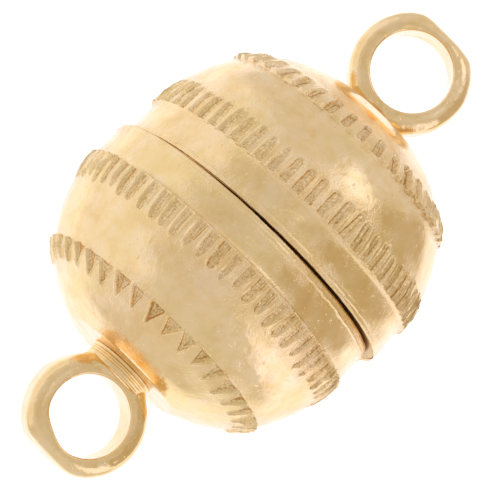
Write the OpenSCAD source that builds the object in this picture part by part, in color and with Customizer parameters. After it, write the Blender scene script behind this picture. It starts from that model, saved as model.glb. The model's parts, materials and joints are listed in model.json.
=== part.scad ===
// Round magnetic clasp: two hollow half shells that meet at a seam, each with two milled
// bands, a face plate, a magnet and a closed loop. It lies on its side, X along its axis.
// The socket half is on the -X side and the plug half on the +X side. All sizes are in mm.

/* [Ball] */
// Diameter of the ball at the seam
ball_d = 10; // [9.6:0.1:11]
// Straight stretch of each shell beside the seam, before its dome begins
rim_straight = 1.25; // [1.2:0.05:1.3]
// Radius of the arc along which each dome bends in towards its pole
dome_arc = 4.2; // [4.15:0.05:4.3]
// Distance from the seam to the flat pole of each shell
pole_at = 5.25; // [5.2:0.01:5.3]
// Thickness of the shell's wall
wall_t = 0.3; // [0.25:0.05:0.35]

/* [Bands] */
// Distance from the seam to the near edge of the wide band
wide_at = 1.15; // [1:0.05:1.2]
// Width of the wide band along the clasp's axis
wide_w = 0.98; // [0.8:0.02:1.1]
// How far the wide band stands out of the dome
wide_h = 0.07; // [0.05:0.01:0.1]
// Notches milled round the wide band
wide_notches = 64; // [48:1:64]
// Distance from the seam to the near edge of the narrow band
narrow_at = 3.78; // [3.7:0.02:3.8]
// Width of the narrow band along the clasp's axis
narrow_w = 0.6; // [0.5:0.02:0.64]
// How far the narrow band stands out of the dome
narrow_h = 0.09; // [0.06:0.01:0.12]
// Notches milled round the socket half's narrow band, which taper to a point
socket_notches = 38; // [30:1:40]
// Notches milled round the plug half's narrow band, which don't taper
plug_notches = 40; // [30:1:44]
// Depth of every notch at its seam end
notch_depth = 0.1; // [0.06:0.01:0.12]
// Share of its pitch that each notch takes
notch_share = 0.54; // [0.4:0.02:0.6]
// Share of its pitch that the open end of each tapered notch takes
taper_share = 0.7; // [0.5:0.02:0.8]
// How far the wide bands are worn flat where the clasp lies on them
rest_flat = 0.05; // [0.03:0.01:0.05]

/* [Seat] */
// Gap between the two face plates at the middle of the seam
seam_gap = 0.1; // [0.1:0.01:0.16]
// Sideways play of the plug in its socket, all taken up to one side
seat_shift = 0.28; // [0:0.02:0.3]
// Angle by which the plug half sits crooked, in degrees
seat_tilt = 0.95; // [0:0.05:1]
// Thickness of each face plate
plate_t = 0.16; // [0.14:0.01:0.2]
// Depth of the socket in the socket half's plate
socket_depth = 0.6; // [0.5:0.05:0.7]
// Clearance round the plug in its socket, on the radius
socket_clear = 0.5; // [0.45:0.05:0.55]
// Wall of the cup that holds each magnet
cup_t = 0.2; // [0.15:0.05:0.25]

/* [Magnets] */
// Diameter of each disc magnet
magnet_d = 6; // [5:0.5:6]
// Thickness of each disc magnet
magnet_t = 2.5; // [2:0.1:2.5]

/* [Loops] */
// Diameter of the hole in each loop
loop_hole_d = 2.52; // [2.2:0.02:2.6]
// Width of the loop's metal between its hole and its outer edge
loop_w = 0.6; // [0.5:0.01:0.62]
// Depth of the loop along the axis of its hole
loop_depth = 1.4; // [1.2:0.05:1.5]
// Radius to which the loop's outer edges are rounded
loop_round = 0.2; // [0.1:0.02:0.3]
// Distance from the seam to the middle of the loop's hole
loop_at = 7.11; // [7:0.01:7.2]
// How far the socket half's loop is worn flat at its outer end
socket_flat = 0.24; // [0:0.02:0.3]
// How far the plug half's loop is worn flat at its outer end
plug_flat = 0.28; // [0:0.02:0.36]
// Sideways shift of the socket half's ring against its own shell
loop_shift = 0.2; // [0:0.02:0.2]
// Angle by which the socket half's loop is turned round the clasp's axis, in degrees
loop_turn = 13; // [0:1:20]
// Radius of the collar where each loop meets its shell
collar_r = 1.1; // [1:0.02:1.2]
// Length of the socket half's collar
socket_collar = 0.45; // [0.3:0.01:0.5]
// Length of the plug half's collar
plug_collar = 0.14; // [0.1:0.01:0.3]
// Radius of the post that holds the loop in the shell's pole
post_r = 0.6; // [0.5:0.05:0.7]

/* [Hidden] */
$fn = 96;
// Clearance between pieces that are pressed or glued together
fit = 0.03;
// Length by which a cutter passes the face that it cuts
over = 1;
gold = "#deb878";
nickel = "#c9cbcf";

// Angle of one notch of each band, round the axis of its own half: [wide band, narrow band]
socket_turns = [2.1, 6.2];
plug_turns = [4, 3.2];
// Metal left between a notch that doesn't taper and the seam side of its band
notch_inset = 0.05;
ball_r = ball_d / 2;
magnet_r = magnet_d / 2;
loop_hole_r = loop_hole_d / 2;
loop_outer_r = loop_hole_r + loop_w;
rim_at = plate_t + fit;
plate_r = ball_r - 0.04;
socket_r = magnet_r + socket_clear;
// How far the plug's magnet stands out of its plate: it just misses the socket's magnet
magnet_gap = 0.08;
plug_reach = socket_depth + seam_gap - magnet_gap;
// The head that the post is peened to, inside the shell
peened_r = post_r + 0.35;
peened_t = 0.25;

// Radius at distance s of a dome that stands out of the shell's own by h
function dome_r(h, s) =
    ball_r - dome_arc + sqrt(pow(dome_arc + h, 2) - pow(max(s - rim_straight, 0), 2));
// Height of the clasp's axis: it lies on its largest radius, worn flat there
axis_z = dome_r(wide_h, wide_at) - rest_flat;

// Takes children drawn along +Z, seam at z = 0, to the socket half's or the plug half's place
module socket_half() {
    translate([-seam_gap / 2, seat_shift / 2, axis_z]) rotate([0, -90, 0]) children();
}

module plug_half() {
    translate([seam_gap / 2, -seat_shift / 2, axis_z])
        rotate([0, 0, seat_tilt]) rotate([0, 90, 0]) children();
}

// Everything between two distances from the seam
module slab(from, to) {
    translate([-ball_d, -ball_d, from]) cube([2 * ball_d, 2 * ball_d, to - from]);
}

// What lies between two distances from the seam of a dome that stands out by h: a straight
// stretch and then an arc, spun round the axis
module dome(h, from, to) {
    rotate_extrude() intersection() {
        union() {
            square([ball_r + h, rim_straight]);
            translate([ball_r - dome_arc, rim_straight]) circle(r = dome_arc + h);
        }
        translate([0, from]) square([ball_d, to - from]);
    }
}

// Cuts of even width round a band, one of them at angle turn
module notches(from, width, h, count, turn) {
    top_r = dome_r(h, from);
    lean = atan2(dome_r(h, from + width) - top_r, width);
    notch_w = 2 * PI * top_r / count * notch_share;
    // Each cutter is twice as high as the notch is deep, so that it passes out of the band
    for (i = [0 : count - 1]) rotate([0, 0, turn + i * 360 / count])
        translate([top_r - notch_depth, 0, from + notch_inset]) rotate([0, lean, 0])
            translate([0, -notch_w / 2, 0]) cube([2 * notch_depth, notch_w, width]);
}

// V cuts that taper to nothing at the band's pole side, one of them at angle turn
module tapered_notches(from, width, h, count, turn) {
    top_r = dome_r(h, from);
    lean = atan2(dome_r(h, from + width) - top_r + notch_depth, width);
    half_w = PI * top_r / count * taper_share;
    for (i = [0 : count - 1]) rotate([0, 0, turn + i * 360 / count])
        translate([top_r - notch_depth, 0, from]) rotate([0, lean, 0])
            linear_extrude(height = width)
                polygon([[0, 0], [2 * notch_depth, 2 * half_w], [2 * notch_depth, -2 * half_w]]);
}

// One half's shell without its narrow band's notches; wide_turn is the angle of one wide notch
module shell(wide_turn) {
    difference() {
        union() {
            dome(0, rim_at, pole_at);
            dome(wide_h, wide_at, wide_at + wide_w);
            dome(narrow_h, narrow_at, narrow_at + narrow_w);
        }
        dome(-wall_t, 0, pole_at - wall_t);
        cylinder(r = post_r + fit, h = pole_at + over);
        notches(wide_at, wide_w, wide_h, wide_notches, wide_turn);
    }
}

// What would stand below the surface that the clasp lies on is worn off its children
module worn() {
    difference() {
        children();
        translate([-ball_d, -ball_d, -over]) cube([2 * ball_d, 2 * ball_d, over]);
    }
}

// A cup for a magnet, its open end at distance s from the seam
module magnet_cup(s) {
    difference() {
        translate([0, 0, s]) cylinder(r = magnet_r + fit + cup_t, h = magnet_t + 2 * fit + cup_t);
        translate([0, 0, s - over]) cylinder(r = magnet_r + fit, h = over + magnet_t + 2 * fit);
    }
}

// The socket half's face: a plate, a shallow socket and behind it the magnet's cup
module socket_face() {
    color(gold) {
        difference() {
            union() {
                cylinder(r = plate_r, h = plate_t);
                cylinder(r = socket_r + cup_t, h = socket_depth + cup_t);
            }
            translate([0, 0, -over]) cylinder(r = socket_r, h = over + socket_depth);
            cylinder(r = magnet_r + fit, h = pole_at);
        }
        magnet_cup(socket_depth);
    }
}

// The plug half's face: a plate whose magnet stands out through its middle
module plug_face() {
    color(gold) {
        difference() {
            cylinder(r = plate_r, h = plate_t);
            translate([0, 0, -over]) cylinder(r = magnet_r + fit, h = 2 * over);
        }
        difference() {
            cylinder(r = magnet_r + fit + cup_t, h = magnet_t - plug_reach + fit + cup_t);
            translate([0, 0, -over])
                cylinder(r = magnet_r + fit, h = over + magnet_t - plug_reach + fit);
        }
    }
}

module magnet(s) {
    color(nickel) translate([0, 0, s]) cylinder(r = magnet_r, h = magnet_t);
}

// Section of the loop's ring, its outer edges rounded; the bore cuts its inner side
module ring_section() {
    inner = loop_hole_r - fit;
    translate([inner, -loop_depth / 2])
        square([loop_outer_r - loop_round - inner, loop_depth]);
    translate([inner, loop_round - loop_depth / 2])
        square([loop_outer_r - inner, loop_depth - 2 * loop_round]);
    for (side = [-1, 1]) translate([loop_outer_r - loop_round, side * (loop_depth / 2 - loop_round)])
        circle(r = loop_round);
}

// A loop worn flat at its outer end, its ring turned and shifted sideways on its collar, and
// the post that is peened over in the shell
module loop(turn, shift, flat, collar_h) {
    color(gold) difference() {
        union() {
            intersection() {
                translate([0, -shift, loop_at]) rotate([0, 0, turn]) rotate([0, 90, 0])
                    rotate_extrude() ring_section();
                slab(pole_at + fit, loop_at + loop_outer_r - flat);
            }
            translate([0, 0, pole_at + fit]) cylinder(r = collar_r, h = collar_h);
            translate([0, 0, pole_at - wall_t - fit]) cylinder(r = post_r, h = wall_t + 3 * fit);
            translate([0, 0, pole_at - wall_t - fit - peened_t]) cylinder(r = peened_r, h = peened_t);
        }
        translate([0, -shift, loop_at]) rotate([0, 0, turn]) rotate([0, 90, 0])
            cylinder(r = loop_hole_r, h = 4 * over, center = true);
    }
}

module socket_shell() color(gold) worn() socket_half() difference() {
    shell(socket_turns[0]);
    tapered_notches(narrow_at, narrow_w, narrow_h, socket_notches, socket_turns[1]);
}
module socket_plate() socket_half() socket_face();
module socket_magnet() socket_half() magnet(socket_depth + fit);
module socket_loop() socket_half() loop(-loop_turn, loop_shift, socket_flat, socket_collar);
module plug_shell() color(gold) worn() plug_half() difference() {
    shell(plug_turns[0]);
    notches(narrow_at, narrow_w, narrow_h, plug_notches, plug_turns[1]);
}
module plug_plate() plug_half() plug_face();
module plug_magnet() plug_half() magnet(-plug_reach);
module plug_loop() plug_half() loop(0, 0, plug_flat, plug_collar);

socket_shell();
socket_plate();
socket_magnet();
socket_loop();
plug_shell();
plug_plate();
plug_magnet();
plug_loop();
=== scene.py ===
"""Looks of the round magnetic clasp: two milled half shells, their face plates and magnets,
and a loop with a turned collar on each pole. Lengths are in millimetres until mesh() makes
metres of them. Each half is drawn by s, the distance from the seam along its axis, by a
radius, and by an angle from the top towards -Y."""

import json
import math

import bmesh
import bpy
import numpy as np
from mathutils import Matrix, Vector, noise


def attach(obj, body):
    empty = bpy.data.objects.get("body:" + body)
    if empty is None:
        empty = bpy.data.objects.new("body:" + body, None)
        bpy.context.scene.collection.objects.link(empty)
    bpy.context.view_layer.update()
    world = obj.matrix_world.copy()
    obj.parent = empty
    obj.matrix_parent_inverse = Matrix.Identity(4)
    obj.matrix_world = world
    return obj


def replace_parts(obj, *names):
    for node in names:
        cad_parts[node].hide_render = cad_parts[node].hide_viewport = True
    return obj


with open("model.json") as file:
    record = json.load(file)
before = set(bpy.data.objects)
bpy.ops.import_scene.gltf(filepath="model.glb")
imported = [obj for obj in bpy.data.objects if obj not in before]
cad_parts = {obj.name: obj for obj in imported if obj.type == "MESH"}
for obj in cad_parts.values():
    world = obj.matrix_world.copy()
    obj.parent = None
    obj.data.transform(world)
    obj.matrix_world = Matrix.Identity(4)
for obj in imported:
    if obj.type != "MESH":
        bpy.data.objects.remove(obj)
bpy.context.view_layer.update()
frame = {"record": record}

MM = 0.001
MOUNTS = {m["name"]: m for m in frame["record"]["mounts"]}
AXIS_Z = MOUNTS["plug_loop_hole"]["pos_m"][2] / MM

# The solids' sizes
BALL_R = 5.0
RIM_STRAIGHT = 1.25
DOME_ARC = 4.2
POLE_AT = 5.25
WALL_T = 0.3
WIDE_AT = 1.15
WIDE_W = 0.98
WIDE_H = 0.07
NARROW_AT = 3.78
NARROW_W = 0.6
NARROW_H = 0.09
SEAM_GAP = 0.1
SEAT_SHIFT = 0.28
SEAT_TILT = math.radians(0.95)
PLATE_T = 0.16
PLATE_R = 4.96
SOCKET_DEPTH = 0.6
SOCKET_R = 3.5
CUP_T = 0.2
FIT = 0.03
MAGNET_R = 3.0
MAGNET_T = 2.5
PLUG_REACH = 0.62
HOLE_R = 1.26
RING_R = 1.86
RING_DEPTH = 1.4
LOOP_AT = 7.11
LOOP_SHIFT = 0.2
LOOP_TURN = math.radians(13)
COLLAR_R = 1.1
POST_R = 0.6
PEENED_R = 0.95
PEENED_T = 0.25
RIM_AT = PLATE_T + FIT
# Radius of the plain flat face in the middle of each plate's back and each magnet's ends
CORE_R = 0.5

UP = np.array([0.0, 0.0, 1.0])


class Half:
    """Where one half of the clasp is: out points from the seam to its pole, side to -Y."""

    def __init__(self, body, origin, out):
        self.body = body
        self.origin = np.array(origin)
        self.out = np.array(out)
        side = np.cross(self.out, UP)
        self.side = side if side[1] < 0 else -side

    def place(self, s, r, angle):
        """Points of the half in millimetres, from arrays of s, radius and angle in radians."""
        flat = np.cos(angle)[..., None] * UP + np.sin(angle)[..., None] * self.side
        return self.origin + s[..., None] * self.out + r[..., None] * flat


SOCKET = Half("socket_half", (-SEAM_GAP / 2, SEAT_SHIFT / 2, AXIS_Z), (-1, 0, 0))
PLUG = Half(
    "plug_half",
    (SEAM_GAP / 2, -SEAT_SHIFT / 2, AXIS_Z),
    (math.cos(SEAT_TILT), math.sin(SEAT_TILT), 0),
)


# Mesh helpers


def smoothstep(low, high, x):
    """0 at low and 1 at high with a smooth run between; low may be the greater."""
    t = np.clip((x - low) / (high - low), 0, 1)
    return t * t * (3 - 2 * t)


def hill(x, width):
    """A smooth hill of height 1 over x = 0."""
    return np.exp(-((x / width) ** 2))


def lumps(points, size, seed):
    """Smooth noise between about -1 and 1 at each point; size is that of one lump."""
    shift = Vector((17.3, 5.1, 11.7)) * seed
    flat = points.reshape(-1, 3) / size
    found = [noise.noise(Vector(p) + shift) for p in flat]
    return np.array(found).reshape(points.shape[:-1])


def mesh(name, points, faces, material, marks=None):
    """A smooth-shaded object from points in millimetres; marks are values kept on the points."""
    data = bpy.data.meshes.new(name)
    data.from_pydata((points.reshape(-1, 3) * MM).tolist(), [], faces)
    data.update()
    data.shade_smooth()
    for mark, values in (marks or {}).items():
        layer = data.attributes.new(mark, "FLOAT", "POINT")
        layer.data.foreach_set("value", values.ravel().astype(np.float32))
    data.materials.append(material)
    obj = bpy.data.objects.new(name, data)
    bpy.context.scene.collection.objects.link(obj)
    return obj


def grid_faces(rows, columns, closed, first=0):
    """Quads of a grid that closes round its columns, and along its rows too if closed."""
    last = rows if closed else rows - 1
    i, j = np.meshgrid(np.arange(last), np.arange(columns), indexing="ij")
    k, m = (i + 1) % rows, (j + 1) % columns
    quads = np.stack([i * columns + j, i * columns + m, k * columns + m, k * columns + j], -1)
    return (quads.reshape(-1, 4) + first).tolist()


def capped(rows, columns, first=0):
    """Faces of an open grid with a flat face over its first and its last row."""
    start = [first + j for j in reversed(range(columns))]
    end = [first + (rows - 1) * columns + j for j in range(columns)]
    return grid_faces(rows, columns, False, first) + [start, end]


def outward(obj):
    """Turns a closed mesh's faces outwards."""
    bm = bmesh.new()
    bm.from_mesh(obj.data)
    bmesh.ops.recalc_face_normals(bm, faces=bm.faces)
    bm.to_mesh(obj.data)
    bm.free()
    return obj


def rounded(profile, radius, steps=4):
    """An open profile with each inner corner rounded by a curve of about that radius."""
    points = [np.array(p, float) for p in profile]
    found = [points[0]]
    for a, b, c in zip(points, points[1:], points[2:]):
        reach = min(radius, np.linalg.norm(a - b) / 2.2, np.linalg.norm(c - b) / 2.2)
        start = b + (a - b) / np.linalg.norm(a - b) * reach
        end = b + (c - b) / np.linalg.norm(c - b) * reach
        for t in np.linspace(0, 1, steps):
            found.append((1 - t) ** 2 * start + 2 * t * (1 - t) * b + t * t * end)
    return np.array(found + [points[-1]])


def lathe(name, half, profile, material, columns=240, wobble=None):
    """A closed body of revolution whose profile of (s, radius) ends in flat faces."""
    angle = np.radians(np.arange(columns) * 360 / columns)
    s, a = np.meshgrid(profile[:, 0], angle, indexing="ij")
    r = np.repeat(profile[:, 1:2], columns, axis=1)
    if wobble is not None:
        s, r = wobble(s, r, a)
    points = half.place(s, r, a)
    return outward(mesh(name, points, capped(len(profile), columns), material))


# Shells

COLUMNS = 800
# Rows of the outer surface, from the rim to the shoulder: (where the stretch ends, step)
ROW_STEPS = [(0.32, 0.024), (1.12, 0.11), (2.2, 0.034), (3.74, 0.14), (4.46, 0.03), (4.95, 0.1)]
# The shoulder rounds off between this point on the dome and this radius on the flat pole
SHOULDER = math.radians(70.5)
POLE_FLAT_R = 2.0
SHOULDER_ROWS = 10

# The bands' notches. first is one notch's angle in degrees and wide a notch's share of its
# pitch, as the photo has them. start is where it begins past the band's seam edge. end is where
# it ends and tip the length of its rounded or pointed end, along the clasp's axis. taper is the
# share of its width that is left at its end, and fall the share of its height that the band
# loses towards the pole
WIDE = {
    "at": WIDE_AT, "width": WIDE_W, "height": WIDE_H, "fall": 0.75, "count": 64, "end": 0.97,
    "depth": 0.08, "pointed": False,
}
WIDE_SOCKET = WIDE | {
    "first": 3.5, "wide": 0.54, "start": 0.05, "tip": 0.3, "taper": 0.9, "seed": 1,
}
WIDE_PLUG = WIDE | {
    "first": 4.0, "wide": 0.56, "start": 0.04, "tip": 0.16, "taper": 0.92, "seed": 2,
}
NARROW = {
    "at": NARROW_AT, "width": NARROW_W, "height": NARROW_H, "start": 0.02, "end": 0.54,
}
NARROW_SOCKET = NARROW | {
    "fall": 0.5, "count": 38, "first": 3.3, "wide": 0.72, "tip": 0.5, "taper": 0.9,
    "depth": 0.13, "pointed": True, "seed": 3,
}
NARROW_PLUG = NARROW | {
    "fall": 0.4, "count": 40, "first": 3.2, "wide": 0.46, "tip": 0.1, "taper": 0.88,
    "depth": 0.12, "pointed": False, "seed": 4,
}
# How much one notch differs from the next: its slope across the band, its place aside, and the
# shares of its width, its end and its depth. They are drawn in this order
NOTCH_VARIES = {"slope": 0.05, "aside": 0.014, "width": 0.09, "end": 0.04, "depth": 0.14}
# How softly a notch's sides begin
NOTCH_SOFT = 0.02
# How far out the raised burr round each notch runs, how wide and high it is, and the same
# sizes of the burr along a band's seam edge and of the ridge along each notch's bed
BURR_OUT = 0.03
BURR_W = 0.028
BURR_H = 0.045
EDGE_W = 0.035
EDGE_H = 0.02
RIDGE_W = 0.04
RIDGE_H = 0.02
# Size of one lump of the fine and of the coarse wear of the bands
FINE_WEAR = 0.09
COARSE_WEAR = 0.35
# Where each shell's thin lip ends over its plate, and where the ragged bead behind it is
SOCKET_LIP = (0.006, 0.17)
PLUG_LIP = (0.006, 0.14)
# How far the lips' edges shift towards the poles at the +Y side, the top and the -Y side: they
# are worn so that the gap between them stays nearly even although the plug half sits crooked
LIP_FOLLOWS = (0.036, -0.022, -0.068)
# The lips' inner radius, just clear of the plates, how far back their edges begin to round
# off, how far those dip and how far they waver
LIP_R = 4.968
LIP_T = 0.04
LIP_DIPS = 0.012
LIP_WAVERS = 0.006
# Waves in the pressed and worn wall: (height, size of one lump, seed past the shell's own)
WAVES = [(0.014, 2.6, 0), (0.006, 0.9, 1), (0.0022, 0.4, 3)]
# The waves die away between these distances from the seam
WAVES_END = (4.7, 5.25)
# The ragged bead behind the lip, the fine groove after it and the crumbs beside both
RAGGED_SIZE = 0.3
BEAD_W = 0.026
BEAD_H = 0.022
BEAD_VARIES = 0.014
BEAD_SWAYS = 0.03
GROOVE_AFTER = 0.07
GROOVE_DEPTH = 0.008
CRUMB_SIZE = 0.07
CRUMB_H = 0.01
# Where the milling left each shell rough, (from, to): beside the seam and round both bands
WORKED = [(0.0, 0.3), (1.05, 2.3), (3.7, 4.5)]
WORKED_SOFT = 0.3


def lean(s):
    """Angle up the dome at distance s from the seam."""
    return np.arcsin(np.clip((s - RIM_STRAIGHT) / DOME_ARC, 0, 1))


def dome_r(s):
    """Radius of the plain dome at distance s from the seam."""
    return BALL_R - DOME_ARC * (1 - np.cos(lean(s)))


def run(s):
    """Length along the shell's outline from the seam to distance s."""
    return np.minimum(s, RIM_STRAIGHT) + DOME_ARC * lean(s)


def outer_profile(lip_at):
    """Points (s, radius) of the outer surface and its normals, from the lip to the post's hole."""
    stops = [lip_at]
    for end, step in ROW_STEPS:
        count = max(1, round((end - stops[-1]) / step))
        stops += list(np.linspace(stops[-1], end, count + 1)[1:])
    stops.append(RIM_STRAIGHT + DOME_ARC * math.sin(SHOULDER))
    s = np.array(stops)
    profile = np.stack([s, dome_r(s)], -1)
    normal = np.stack([np.sin(lean(s)), np.cos(lean(s))], -1)
    # The shoulder is a curve that leaves the dome and the flat pole without a kink
    start = profile[-1]
    along = np.array([math.cos(SHOULDER), -math.sin(SHOULDER)])
    corner = start + along * (POLE_AT - start[0]) / along[0]
    end = np.array([POLE_AT, POLE_FLAT_R])
    t = np.linspace(0, 1, SHOULDER_ROWS)[1:, None]
    curve = (1 - t) ** 2 * start + 2 * t * (1 - t) * corner + t * t * end
    slope = (1 - t) * (corner - start) + t * (end - corner)
    slope /= np.linalg.norm(slope, axis=1)[:, None]
    flat = np.array([[POLE_AT, 1.45], [POLE_AT, 1.15], [POLE_AT, POST_R + FIT]])
    profile = np.concatenate([profile, curve, flat])
    level = np.tile([1.0, 0.0], (len(flat), 1))
    normal = np.concatenate([normal, np.stack([-slope[:, 1], slope[:, 0]], -1), level])
    return profile, normal


def notch_outline(y, length, angle, band):
    """For each point, y past the seam edge of a band of that length, how far it is inside the
    nearest notch's sides, its distance from that notch's middle, where the notch ends and by
    what share it is deeper than the others."""
    draw = np.random.default_rng(band["seed"])
    count = band["count"]
    pitch = 2 * math.pi / count
    ring_r = dome_r(np.array(band["at"] + band["width"] / 2))
    stretch = length / band["width"]
    turn = (angle - math.radians(band["first"])) / pitch
    which = np.round(turn).astype(int) % count
    vary = {name: draw.normal(0, by, count)[which] for name, by in NOTCH_VARIES.items()}
    x = (turn - np.round(turn)) * pitch * ring_r + vary["aside"] + vary["slope"] * (y - length / 2)
    half = band["wide"] * pitch * ring_r / 2 * (1 + vary["width"])
    stop = band["end"] * stretch * (1 + vary["end"])
    tip = band["tip"] * stretch
    past = np.clip((y - stop + tip) / tip, 0, 1)
    shape = 1 - past if band["pointed"] else np.sqrt(np.maximum(1 - past**2, 0))
    along = np.clip((y - band["start"]) / (stop - band["start"]), 0, 1)
    inside = half * shape * (1 - (1 - band["taper"]) * along) - np.abs(x)
    return inside, x, stop, vary["depth"]


def band_relief(s, angle, points, band):
    """Height of a milled band over the dome and how deep in a notch each point is, 0 to 1."""
    seam_edge = run(np.array(band["at"]))
    y = run(s) - seam_edge
    length = run(np.array(band["at"] + band["width"])) - seam_edge
    inside, x, stop, deeper = notch_outline(y, length, angle, band)
    fine = lumps(points, FINE_WEAR, band["seed"])
    coarse = lumps(points, COARSE_WEAR, band["seed"] + 7)
    start = band["start"]
    notch = smoothstep(-NOTCH_SOFT, NOTCH_SOFT, inside + 0.02 * fine)
    notch *= smoothstep(start - NOTCH_SOFT, start + NOTCH_SOFT, y + 0.01 * fine)
    notch *= smoothstep(stop + NOTCH_SOFT, stop - 0.03, y)
    burr = hill(inside + BURR_OUT, BURR_W) * smoothstep(stop + 0.1, stop - 0.05, y)
    burr *= smoothstep(-0.02, 0.03, y) * (0.8 + 1.3 * coarse)
    edge = hill(y - 0.03, EDGE_W) * (0.8 + fine)
    fade = 1 - band["fall"] * smoothstep(0.25 * length, 1.02 * length, y)
    on_band = smoothstep(-0.014, 0.014, y) * smoothstep(1.3 * length, 0.78 * length, y)
    up = band["height"] * fade * on_band + BURR_H * burr + EDGE_H * edge
    deep = band["depth"] * (1 + deeper) * (1 + 0.25 * coarse) * (0.75 + 0.25 * fade)
    bed = 0.02 * fine + RIDGE_H * hill(x, RIDGE_W)
    return np.where(y > -0.1, up - notch * (deep - bed), 0) * (y < 1.3 * length), notch


def worked_share(s):
    """How rough the milling left each point, 0 to 1."""
    found = np.zeros_like(s)
    for low, high in WORKED:
        span = smoothstep(low - WORKED_SOFT, low, s) * smoothstep(high + WORKED_SOFT, high, s)
        found = np.maximum(found, span)
    return found


def wall_relief(s, points, bead_at, ragged, seed):
    """Height over the dome of the wall's waves, of the bead behind the lip and of its crumbs."""
    waves = sum(height * lumps(points, size, seed + more) for height, size, more in WAVES)
    waves *= smoothstep(WAVES_END[1], WAVES_END[0], s)
    past_bead = s - bead_at - BEAD_SWAYS * ragged
    bead = hill(past_bead, BEAD_W) * (BEAD_H + BEAD_VARIES * ragged)
    groove = GROOVE_DEPTH * hill(past_bead - GROOVE_AFTER, BEAD_W)
    burred = smoothstep(0.36, 0.2, s) * smoothstep(0.0, 0.05, s) * smoothstep(-0.2, 0.5, ragged)
    crumbs = CRUMB_H * lumps(points, CRUMB_SIZE, seed + 4) * burred
    return waves + bead - groove + crumbs


def inner_outline(lip_at):
    """Points (s, radius) of the post's hole, the inner surface and the lip's underside."""
    arc = DOME_ARC - WALL_T
    found = [(POLE_AT - WALL_T, POST_R + FIT)]
    for at in (POLE_AT - WALL_T, 4.7, 4.2, 3.4, 2.4, RIM_STRAIGHT):
        found.append((at, BALL_R - DOME_ARC + math.sqrt(arc**2 - (at - RIM_STRAIGHT) ** 2)))
    found += [(RIM_AT, BALL_R - WALL_T), (RIM_AT, LIP_R), (lip_at + LIP_T, LIP_R)]
    return np.array(found)


def shell(name, half, wide, narrow, lip, seed, node, material):
    """A shell: its outer surface with both bands, the lip over the plate and the inside."""
    lip_at, bead_at = lip
    profile, normal = outer_profile(lip_at)
    angle = np.radians(np.arange(COLUMNS) * 360 / COLUMNS)
    s, a = np.meshgrid(profile[:, 0], angle, indexing="ij")
    r = np.repeat(profile[:, 1:2], COLUMNS, axis=1)
    points = half.place(s, r, a)
    wide_up, wide_notch = band_relief(s, a, points, wide)
    narrow_up, narrow_notch = band_relief(s, a, points, narrow)
    ragged = lumps(points, RAGGED_SIZE, seed + 2)
    near_lip = smoothstep(lip_at + LIP_T, lip_at, s)
    up = wide_up + narrow_up + wall_relief(s, points, bead_at, ragged, seed) - LIP_DIPS * near_lip
    follow = np.interp(np.sin(a), [-1, 0, 1], LIP_FOLLOWS)
    # The outer surface, and then the inside from the pole back to the lip
    inside = inner_outline(lip_at)
    outer_s = s + up * normal[:, 0:1] + near_lip * (follow + LIP_WAVERS * ragged)
    outer_r = r + up * normal[:, 1:2]
    all_s = np.concatenate([outer_s, np.repeat(inside[:, 0:1], COLUMNS, axis=1)])
    all_r = np.concatenate([outer_r, np.repeat(inside[:, 1:2], COLUMNS, axis=1)])
    points = half.place(all_s, all_r, np.repeat(angle[None], len(all_s), axis=0))
    points[..., 2] = np.maximum(points[..., 2], 0)
    blank = np.zeros((len(inside), COLUMNS))
    # The first mark is how deep in a notch each point is, where painted shade goes; the second is
    # where the milling left the shell rough
    marks = {
        "notch_shade": np.concatenate([np.maximum(wide_notch, narrow_notch), blank]),
        "worked": np.concatenate([worked_share(s), blank]),
    }
    faces = grid_faces(len(all_s), COLUMNS, True)
    obj = outward(mesh(name, points, faces, material, marks))
    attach(obj, half.body)
    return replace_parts(obj, node)


# Plates and magnets

PLATE_ROUND = 0.014
MAGNET_ROUND = 0.14
# A plate's rim rises by RIM_H between these radii, its edge is worn back by RIM_WORN, and both
# waver
RIM_RISES = (4.5, 4.9)
RIM_H = 0.008
RIM_WORN = 0.008
RIM_WAVERS = 0.006


def plate(name, half, profile, seed, material):
    """A face plate, spun from the middle of its back over its edge to the middle of its face."""

    def wobble(s, r, a):
        points = half.place(s, r, a)
        near_edge = smoothstep(*RIM_RISES, r)
        raised = near_edge * smoothstep(0.05, 0, s) * (RIM_H + RIM_WAVERS * lumps(points, 0.7, seed))
        return s - raised, r + near_edge * (RIM_WAVERS * lumps(points, 0.5, seed) - RIM_WORN)

    obj = lathe(name, half, rounded(profile, PLATE_ROUND), material, columns=360, wobble=wobble)
    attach(obj, half.body)
    return obj


def socket_plate(material):
    back = SOCKET_DEPTH + MAGNET_T + 2 * FIT + CUP_T
    cup_r = MAGNET_R + FIT + CUP_T
    profile = [
        (back, CORE_R),
        (back, cup_r),
        (SOCKET_DEPTH + CUP_T, cup_r),
        (SOCKET_DEPTH + CUP_T, SOCKET_R + CUP_T),
        (PLATE_T, SOCKET_R + CUP_T),
        (PLATE_T, PLATE_R),
        (0, PLATE_R),
        (0, SOCKET_R),
        (SOCKET_DEPTH, SOCKET_R),
        (SOCKET_DEPTH, MAGNET_R + FIT),
        (back - CUP_T, MAGNET_R + FIT),
        (back - CUP_T, CORE_R),
    ]
    obj = plate("socket_plate_face", SOCKET, profile, 11, material)
    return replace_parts(obj, "socket_plate")


def plug_plate(material):
    back = MAGNET_T - PLUG_REACH + FIT + CUP_T
    cup_r = MAGNET_R + FIT + CUP_T
    profile = [
        (back, CORE_R),
        (back, cup_r),
        (PLATE_T, cup_r),
        (PLATE_T, PLATE_R),
        (0, PLATE_R),
        (0, MAGNET_R + FIT),
        (back - CUP_T, MAGNET_R + FIT),
        (back - CUP_T, CORE_R),
    ]
    obj = plate("plug_plate_face", PLUG, profile, 12, material)
    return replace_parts(obj, "plug_plate")


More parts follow.
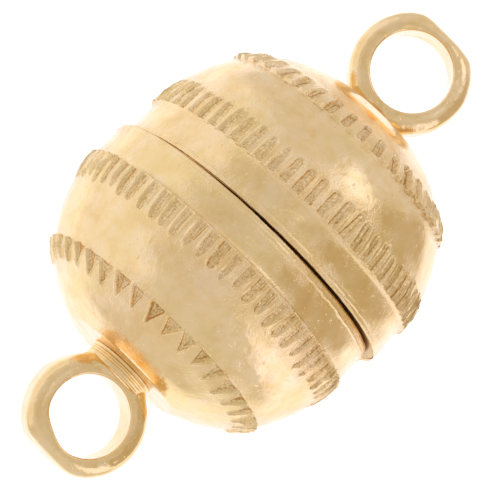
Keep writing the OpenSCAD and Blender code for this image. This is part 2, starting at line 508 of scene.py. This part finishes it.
def magnet(name, half, from_s, node, material):
    end = from_s + MAGNET_T
    profile = [(end, CORE_R), (end, MAGNET_R), (from_s, MAGNET_R), (from_s, CORE_R)]
    obj = lathe(name, half, rounded(profile, MAGNET_ROUND, steps=6), material)
    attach(obj, half.body)
    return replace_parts(obj, node)


# Loops

# Each collar's turned outline, from the shell outwards: (s past the pole, radius)
SOCKET_COLLAR = [
    (0.008, 0.55), (0.008, 1.12), (0.03, 1.125), (0.05, 1.11), (0.075, 1.1), (0.085, 1.07),
    (0.1, 1.07), (0.115, 1.09), (0.15, 1.095), (0.165, 1.085), (0.18, 1.085), (0.195, 1.093),
    (0.23, 1.09), (0.24, 1.08), (0.26, 1.08), (0.275, 1.088), (0.32, 1.084), (0.33, 1.076),
    (0.37, 1.076), (0.385, 1.08), (0.42, 1.06), (0.45, 1.02), (0.475, 0.95), (0.48, 0.85), (0.48, 0.1),
]
PLUG_COLLAR = [
    (0.008, 0.55), (0.008, 1.04), (0.03, 1.08), (0.075, 1.1), (0.11, 1.08), (0.135, 1.02),
    (0.15, 0.95), (0.19, 0.9), (0.26, 0.84), (0.34, 0.76), (0.34, 0.1),
]
# The post, from its peened head inside the shell to the pole, in the same terms
HEAD_AT = -WALL_T - FIT
POST = [
    (HEAD_AT - PEENED_T, 0.1), (HEAD_AT - PEENED_T, PEENED_R), (HEAD_AT, PEENED_R),
    (HEAD_AT, POST_R), (0.0, POST_R),
]
RING_STEPS = 288
# The shares of the ring's section, across and deep, over which its corners round off
OUTER_CORNER = (0.7, 0.55)
INNER_CORNER = (0.12, 0.1)
CORNER_STEPS = 8
# How softly the worn flats run into the round
FLAT_SOFT = 0.08
# How far the ring swells at the collar, and over what distance that dies away
SWELL = 0.05
SWELL_FADE = 0.09
# Lumps of a ring's skin and of a collar's wear: (height, size of one lump)
SKIN = [(0.016, 0.7), (0.008, 0.24)]
COLLAR_WEAR = (0.012, 0.5)
COLLAR_WORN = 0.008


def ring_section():
    """Closed outline of the ring's section: across from 0 at the hole to 1, and deep from -1 to
    1, with its corners rounded."""
    found = []
    corners = [
        (1, 90, OUTER_CORNER), (-1, 0, OUTER_CORNER), (-1, 270, INNER_CORNER),
        (1, 180, INNER_CORNER),
    ]
    for side, first, (across, deep) in corners:
        x = 1 - across if first < 180 else across
        y = side * (1 - deep)
        for turn in np.radians(np.linspace(first, first - 90, CORNER_STEPS)):
            found.append((x + across * math.cos(turn), y + deep * math.sin(turn)))
    points = np.array(found)
    # The straight stretches between the corners get points of their own
    filled = []
    for a, b in zip(points, np.roll(points, -1, axis=0)):
        count = max(1, round(abs(a[0] - b[0]) / 0.2 + abs(a[1] - b[1]) / 0.16))
        filled += [a + (b - a) * k / count for k in range(count)]
    return np.array(filled)


def worn_radius(alpha, radius, flats):
    """Radius round the ring with flats worn on it: (middle angle, distance from the centre)."""
    found = np.full_like(alpha, radius)
    for middle, distance in flats:
        across = np.cos(alpha - math.radians(middle))
        chord = np.where(across > 0.2, distance / np.maximum(across, 0.2), 9)
        found = -FLAT_SOFT * np.log(np.exp(-found / FLAT_SOFT) + np.exp(-chord / FLAT_SOFT))
    return found


def ring_points(half, collar_end, shift, turn, outer_flats, hole_flats, seed):
    """Points of a ring by its section and round it: shifted sideways and turned round the
    clasp's axis, its outer corners rounded and worn."""
    axis = math.cos(turn) * UP + math.sin(turn) * half.side
    across = np.cross(half.out, axis)
    across = across if across @ half.side > 0 else -across
    centre = half.origin + LOOP_AT * half.out + shift * half.side
    alpha = np.radians(np.arange(RING_STEPS) * 360 / RING_STEPS)
    out_r = worn_radius(alpha, RING_R, outer_flats)
    in_r = worn_radius(alpha, HOLE_R, hole_flats)
    section = ring_section()
    x, al = np.meshgrid(section[:, 0], alpha, indexing="ij")
    y = np.repeat(section[:, 1:2], RING_STEPS, axis=1)
    radius = in_r[None] + (out_r - in_r)[None] * x
    radial = np.cos(al)[..., None] * half.out + np.sin(al)[..., None] * across
    deep = (RING_DEPTH / 2) * y[..., None] * axis
    points = centre + radius[..., None] * radial + deep
    # The ring swells where it runs into the collar, and its skin is a little lumpy
    away = points - half.origin
    s = away @ half.out
    r = np.linalg.norm(away - s[..., None] * half.out, axis=-1)
    near = np.exp(-np.maximum(r - COLLAR_R, 0) / SWELL_FADE) * smoothstep(0.2, 0.6, x)
    near *= smoothstep(collar_end + 0.25, collar_end - 0.05, s)
    skin = sum(height * lumps(points, size, seed + k) for k, (height, size) in enumerate(SKIN))
    middle = in_r[None] + 0.5 * (out_r - in_r)[None]
    from_middle = (radius - middle)[..., None] * radial + deep
    length = np.linalg.norm(from_middle, axis=-1, keepdims=True)
    points = points + from_middle / length * (SWELL * near + skin * (x > 0.15))[..., None]
    # It is cut square where it would reach into the shell
    short = np.maximum(POLE_AT + FIT - (points - half.origin) @ half.out, 0)
    return points + short[..., None] * half.out


def stem_points(half, collar, seed):
    """Points of the post that passes the shell's pole and of the turned collar on it."""
    outline = np.array(POST + collar)
    angle = np.radians(np.arange(RING_STEPS) * 360 / RING_STEPS)
    s, a = np.meshgrid(POLE_AT + outline[:, 0], angle, indexing="ij")
    r = np.repeat(outline[:, 1:2], RING_STEPS, axis=1)
    height, size = COLLAR_WEAR
    wear = height * lumps(half.place(s, r, a), size, seed) - COLLAR_WORN
    return half.place(s, r + wear * (r > 0.65), a)


def loop(name, half, collar, shift, turn, outer_flats, hole_flats, seed, node, material):
    """A cast loop: a worn ring on a turned collar, with its post."""
    collar_end = POLE_AT + collar[-1][0]
    ring = ring_points(half, collar_end, shift, turn, outer_flats, hole_flats, seed)
    stem = stem_points(half, collar, seed + 2)
    faces = grid_faces(len(ring), RING_STEPS, True)
    faces += capped(len(stem), RING_STEPS, len(ring) * RING_STEPS)
    points = np.concatenate([ring.reshape(-1, 3), stem.reshape(-1, 3)])
    obj = outward(mesh(name, points, faces, material))
    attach(obj, half.body)
    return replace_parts(obj, node)


# Materials


def node_material(name):
    material = bpy.data.materials.new(name)
    material.use_nodes = True
    tree = material.node_tree
    return material, tree, tree.nodes["Principled BSDF"]


def link(tree, out, into):
    tree.links.new(out, into)


def noise_node(tree, coords, scale, detail=3.0, rough=0.55, stretch=None):
    """A noise texture on the object's own coordinates; scale is in lumps a metre."""
    source = coords.outputs["Object"]
    if stretch is not None:
        mapping = tree.nodes.new("ShaderNodeMapping")
        mapping.inputs["Scale"].default_value = stretch
        mapping.inputs["Rotation"].default_value = (0.3, 0.5, 0.8)
        link(tree, source, mapping.inputs["Vector"])
        source = mapping.outputs["Vector"]
    found = tree.nodes.new("ShaderNodeTexNoise")
    found.inputs["Scale"].default_value = scale
    found.inputs["Detail"].default_value = detail
    found.inputs["Roughness"].default_value = rough
    link(tree, source, found.inputs["Vector"])
    return found.outputs["Fac"]


def ramp(tree, value, stops):
    """A colour ramp over a value; stops are (place, colour or grey level)."""
    found = tree.nodes.new("ShaderNodeValToRGB")
    link(tree, value, found.inputs["Fac"])
    elements = found.color_ramp.elements
    while len(elements) < len(stops):
        elements.new(0.5)
    for element, (at, colour) in zip(elements, stops):
        element.position = at
        if not isinstance(colour, tuple):
            colour = (colour, colour, colour)
        element.color = (*colour, 1)
    return found.outputs["Color"]


def attribute(tree, name):
    found = tree.nodes.new("ShaderNodeAttribute")
    found.attribute_name = name
    return found.outputs["Fac"]


def bump(tree, height, distance, strength, under=None):
    """Bumps of a value over those of the normal under; distance is in millimetres."""
    found = tree.nodes.new("ShaderNodeBump")
    found.inputs["Distance"].default_value = distance * MM
    found.inputs["Strength"].default_value = strength
    link(tree, height, found.inputs["Height"])
    if under is not None:
        link(tree, under, found.inputs["Normal"])
    return found.outputs["Normal"]


def mix(tree, factor, a, b, blend="MIX"):
    """Mixes two colours, each an output or a constant."""
    found = tree.nodes.new("ShaderNodeMix")
    found.data_type = "RGBA"
    found.blend_type = blend
    for socket, value in ((found.inputs[0], factor), (found.inputs[6], a), (found.inputs[7], b)):
        if isinstance(value, bpy.types.NodeSocket):
            link(tree, value, socket)
        elif socket.type == "RGBA":
            socket.default_value = (*value, 1)
        else:
            socket.default_value = value
    return found.outputs[2]


def maths(tree, operation, a, b=None):
    found = tree.nodes.new("ShaderNodeMath")
    found.operation = operation
    for socket, value in zip(found.inputs, (a, b)):
        if isinstance(value, bpy.types.NodeSocket):
            link(tree, value, socket)
        elif value is not None:
            socket.default_value = value
    return found.outputs[0]


def soft_span(tree, value, low, high, soft):
    """1 between low and high, with soft edges."""
    parts = []
    for start, end in ((low - soft / 2, low + soft / 2), (high + soft / 2, high - soft / 2)):
        found = tree.nodes.new("ShaderNodeMapRange")
        found.interpolation_type = "SMOOTHSTEP"
        link(tree, value, found.inputs["Value"])
        flip = start > end
        found.inputs["From Min"].default_value = min(start, end)
        found.inputs["From Max"].default_value = max(start, end)
        found.inputs["To Min"].default_value = 1.0 if flip else 0.0
        found.inputs["To Max"].default_value = 0.0 if flip else 1.0
        parts.append(found.outputs["Result"])
    return maths(tree, "MULTIPLY", *parts)


# Colours of the gold plating, of the painted shade in its notches and in the seam, and of the nickel
GOLD = (0.95, 0.67, 0.335)
GOLD_PALE = (0.99, 0.74, 0.43)
GOLD_DEEP = (0.86, 0.58, 0.25)
GOLD_OLIVE = (0.87, 0.64, 0.27)
GOLD_PINK = (0.98, 0.73, 0.46)
NOTCH_SHADE = (0.50, 0.30, 0.11)
SEAM_SHADE = (0.66, 0.41, 0.16)
NICKEL_DULL = (0.66, 0.66, 0.67)
NICKEL_BRIGHT = (0.8, 0.8, 0.81)


def gold_tone(tree, mottle, cloud, patches, grain):
    """The plating's colour: mottled, olive or pink in places, and browner in the notches as painted
    shade.
    """
    tone = ramp(tree, mottle, [(0.32, GOLD_DEEP), (0.5, GOLD), (0.66, GOLD_PALE)])
    tone = mix(tree, ramp(tree, cloud, [(0.46, 0.0), (0.6, 0.45)]), tone, GOLD_OLIVE)
    tone = mix(tree, ramp(tree, patches, [(0.5, 0.0), (0.62, 0.4)]), tone, GOLD_PINK)
    # Painted shade in the notches, broken up by the grain
    specks = ramp(tree, grain, [(0.4, 0.0), (0.62, 0.6)])
    shade_in_notches = mix(tree, attribute(tree, "notch_shade"), (0.0, 0.0, 0.0), specks)
    return mix(tree, shade_in_notches, tone, NOTCH_SHADE)


def gold_relief(tree, coords, patches, grain):
    """The plating's pits, dents and scratches, and its grain, coarse where it was milled."""
    pits = noise_node(tree, coords, 5200, 2.0)
    dents = noise_node(tree, coords, 2600, 3.0, 0.5)
    scratches = noise_node(tree, coords, 900, 6.0, 0.8, stretch=(1, 14, 1))
    milled = maths(tree, "MULTIPLY", attribute(tree, "worked"), 1.3)
    coarse = maths(tree, "MULTIPLY", milled, grain)
    rough = maths(tree, "MULTIPLY", ramp(tree, patches, [(0.42, 0.1), (0.62, 1.0)]), grain)
    normal = bump(tree, ramp(tree, pits, [(0.26, 0.0), (0.34, 1.0)]), 0.014, 0.6)
    normal = bump(tree, dents, 0.02, 0.6, normal)
    normal = bump(tree, scratches, 0.005, 0.25, normal)
    normal = bump(tree, coarse, 0.014, 0.7, normal)
    return bump(tree, rough, 0.014, 0.6, normal)


def gold():
    """Polished gold plating, worn and finely marked, with painted shade in its notches."""
    material, tree, shader = node_material("gold plating")
    coords = tree.nodes.new("ShaderNodeTexCoord")
    mottle = noise_node(tree, coords, 1100, 6.0, 0.65)
    cloud = noise_node(tree, coords, 380, 3.0)
    patches = noise_node(tree, coords, 1500, 2.0)
    grain = noise_node(tree, coords, 15000, 3.0, 0.7)
    link(tree, gold_tone(tree, mottle, cloud, patches, grain), shader.inputs["Base Color"])
    shader.inputs["Metallic"].default_value = 1.0
    link(tree, ramp(tree, mottle, [(0.3, 0.16), (0.6, 0.06)]), shader.inputs["Roughness"])
    link(tree, gold_relief(tree, coords, patches, grain), shader.inputs["Normal"])
    return material


def seam_shaded_gold():
    """The duller gold of the plates, painted darker and browner as the shade in the seam where the
    halves meet.
    """
    material, tree, shader = node_material("gold plating with painted seam shade")
    coords = tree.nodes.new("ShaderNodeTexCoord")
    cloud = noise_node(tree, coords, 1200, 4.0)
    grain = noise_node(tree, coords, 12000, 3.0)
    # Painted seam shade: the plates' colour is darkened towards brown
    link(tree, ramp(tree, cloud, [(0.4, SEAM_SHADE), (0.7, GOLD_DEEP)]), shader.inputs["Base Color"])
    shader.inputs["Metallic"].default_value = 1.0
    shader.inputs["Roughness"].default_value = 0.4
    link(tree, bump(tree, grain, 0.004, 0.4), shader.inputs["Normal"])
    return material


def nickel():
    """Bright nickel plating with a faint grain and light rubbing."""
    material, tree, shader = node_material("nickel plating")
    coords = tree.nodes.new("ShaderNodeTexCoord")
    cloud = noise_node(tree, coords, 700, 4.0)
    grain = noise_node(tree, coords, 9000, 3.0)
    tone = ramp(tree, cloud, [(0.3, NICKEL_DULL), (0.7, NICKEL_BRIGHT)])
    link(tree, tone, shader.inputs["Base Color"])
    shader.inputs["Metallic"].default_value = 1.0
    link(tree, ramp(tree, cloud, [(0.3, 0.3), (0.7, 0.18)]), shader.inputs["Roughness"])
    link(tree, bump(tree, grain, 0.003, 0.3), shader.inputs["Normal"])
    return material


# Studio

# Soft light round the clasp. Each panel's azimuth, from +X towards +Y, and its elevation are
# (from, to) in degrees, soft is the width of the edges of both, and a later panel covers an
# earlier one
ROOM = (0.74, 0.74, 0.77)
PANELS = [
    {"azimuth": (-200, 200), "elevation": (58, 100), "soft": (5, 20), "light": (0.66, 0.65, 0.64)},
    {"azimuth": (-95, -40), "elevation": (-20, 55), "soft": (5, 7), "light": (0.58, 0.52, 0.42)},
    {"azimuth": (-48, -12), "elevation": (25, 56), "soft": (5, 6), "light": (1.15, 1.2, 1.4)},
    {"azimuth": (-118, -97), "elevation": (-20, 48), "soft": (1.5, 4), "light": (1.2, 1.2, 1.45)},
    {"azimuth": (50, 150), "elevation": (-20, 36), "soft": (14, 6), "light": (0.95, 0.97, 1.04)},
    {"azimuth": (-80, -20), "elevation": (74, 82), "soft": (12, 4), "light": (0.92, 0.94, 1.0)},
]
# The floor glows within this many metres of the middle of the clasp, and beyond it looks like
# the room above it
NEAR = 0.0155
NEAR_EDGE = 0.003
NEAR_LIGHT = (0.86, 0.90, 0.98)
# What the floor's own white adds to its glow
FLOOR_WHITE = 0.4
FLOOR_ADDS = 0.28
FLOOR_HALF = 1.5


def surroundings(tree, split):
    """The room's light by direction, from a Separate XYZ of that direction."""
    x, y, z = split.outputs
    degrees = 180 / math.pi
    azimuth = maths(tree, "MULTIPLY", maths(tree, "ARCTAN2", y, x), degrees)
    elevation = maths(tree, "MULTIPLY", maths(tree, "ARCSINE", z), degrees)
    total = ROOM
    for panel in PANELS:
        soft_az, soft_el = panel["soft"]
        mask = maths(
            tree,
            "MULTIPLY",
            soft_span(tree, azimuth, *panel["azimuth"], soft_az),
            soft_span(tree, elevation, *panel["elevation"], soft_el),
        )
        total = mix(tree, mask, total, panel["light"])
    return total


def white_to_camera(tree, light):
    path = tree.nodes.new("ShaderNodeLightPath")
    return mix(tree, path.outputs["Is Camera Ray"], light, (1.0, 1.0, 1.0))


def room():
    """The room's soft light; the camera itself sees plain white."""
    world = bpy.data.worlds.new("room")
    bpy.context.scene.world = world
    world.use_nodes = True
    tree = world.node_tree
    background = tree.nodes["Background"]
    coords = tree.nodes.new("ShaderNodeTexCoord")
    split = tree.nodes.new("ShaderNodeSeparateXYZ")
    link(tree, coords.outputs["Generated"], split.inputs[0])
    link(tree, white_to_camera(tree, surroundings(tree, split)), background.inputs["Color"])
    background.inputs["Strength"].default_value = 1.0


def floor():
    """A white sheet on a small light table, so that no shadow shows."""
    material, tree, shader = node_material("white sheet")
    shader.inputs["Base Color"].default_value = (FLOOR_WHITE, FLOOR_WHITE, FLOOR_WHITE, 1)
    shader.inputs["Roughness"].default_value = 1.0
    shader.inputs["Specular IOR Level"].default_value = 0.0
    coords = tree.nodes.new("ShaderNodeTexCoord")
    distance = tree.nodes.new("ShaderNodeVectorMath")
    distance.operation = "LENGTH"
    link(tree, coords.outputs["Object"], distance.inputs[0])
    span = tree.nodes.new("ShaderNodeMapRange")
    span.interpolation_type = "SMOOTHSTEP"
    span.inputs["From Min"].default_value = NEAR - NEAR_EDGE
    span.inputs["From Max"].default_value = NEAR + NEAR_EDGE
    link(tree, distance.outputs["Value"], span.inputs["Value"])
    split = tree.nodes.new("ShaderNodeSeparateXYZ")
    link(tree, coords.outputs["Object"], split.inputs[0])
    own = (FLOOR_ADDS, FLOOR_ADDS, FLOOR_ADDS)
    far = mix(tree, 1.0, surroundings(tree, split), own, "SUBTRACT")
    glow = mix(tree, span.outputs["Result"], NEAR_LIGHT, far)
    link(tree, white_to_camera(tree, glow), shader.inputs["Emission Color"])
    shader.inputs["Emission Strength"].default_value = 1.0
    corners = [(x * FLOOR_HALF, y * FLOOR_HALF, 0) for x, y in ((-1, -1), (1, -1), (1, 1), (-1, 1))]
    data = bpy.data.meshes.new("floor")
    data.from_pydata(corners, [], [(0, 1, 2, 3)])
    data.materials.append(material)
    obj = bpy.data.objects.new("floor", data)
    bpy.context.scene.collection.objects.link(obj)


# Camera

# How far the photo looks down the clasp's axis, and how far its picture is turned
VIEW_TILT = math.radians(9.7)
VIEW_TURN = math.radians(46.2)
VIEW_DISTANCE = 200.0
LENS = 480.0
SENSOR = 36.0
# Millimetres at the clasp that one pixel of the photo shows
PIXEL = 0.03
# Where the middle of the seam is in the photo, from the middle of the frame, in pixels
SEAM_RIGHT = -3.6
SEAM_UP = 6.9


def camera():
    """The photo's view: almost straight down, with the clasp's axis turned in the frame."""
    data = bpy.data.cameras.new("camera")
    data.lens = LENS
    data.sensor_width = SENSOR
    data.clip_start = 0.01
    data.clip_end = 20
    obj = bpy.data.objects.new("camera", data)
    bpy.context.scene.collection.objects.link(obj)
    bpy.context.scene.camera = obj
    back = Vector((-math.sin(VIEW_TILT), 0, math.cos(VIEW_TILT)))
    level = Vector((math.cos(VIEW_TILT), 0, math.sin(VIEW_TILT)))
    away = Vector((0, 1, 0))
    right = math.cos(VIEW_TURN) * level - math.sin(VIEW_TURN) * away
    up = math.sin(VIEW_TURN) * level + math.cos(VIEW_TURN) * away
    place = Vector((0, 0, AXIS_Z)) + VIEW_DISTANCE * back
    place -= PIXEL * (SEAM_RIGHT * right + SEAM_UP * up)
    rotation = Matrix((right, up, back)).transposed().to_4x4()
    obj.matrix_world = Matrix.Translation(place * MM) @ rotation


def build():
    """All eight pieces, the studio and the camera."""
    plating = gold()
    seam_shaded = seam_shaded_gold()
    bright = nickel()
    camera()
    floor()
    room()
    bpy.context.scene.view_settings.view_transform = "Standard"
    golden = [
        shell("socket_shell_milled", SOCKET, WIDE_SOCKET, NARROW_SOCKET, SOCKET_LIP, 21,
              "socket_shell", plating),
        shell("plug_shell_milled", PLUG, WIDE_PLUG, NARROW_PLUG, PLUG_LIP, 31, "plug_shell", plating),
        socket_plate(seam_shaded),
        plug_plate(seam_shaded),
        loop("socket_loop_cast", SOCKET, SOCKET_COLLAR, LOOP_SHIFT, LOOP_TURN, [(0, 1.67)],
             [(-24, 1.21)], 41, "socket_loop", plating),
        loop("plug_loop_cast", PLUG, PLUG_COLLAR, 0.0, 0.0, [(3, 1.64)], [], 51, "plug_loop", plating),
    ]
    discs = [
        magnet("socket_magnet_disc", SOCKET, SOCKET_DEPTH + FIT, "socket_magnet", bright),
        magnet("plug_magnet_disc", PLUG, -PLUG_REACH, "plug_magnet", bright),
    ]


build()
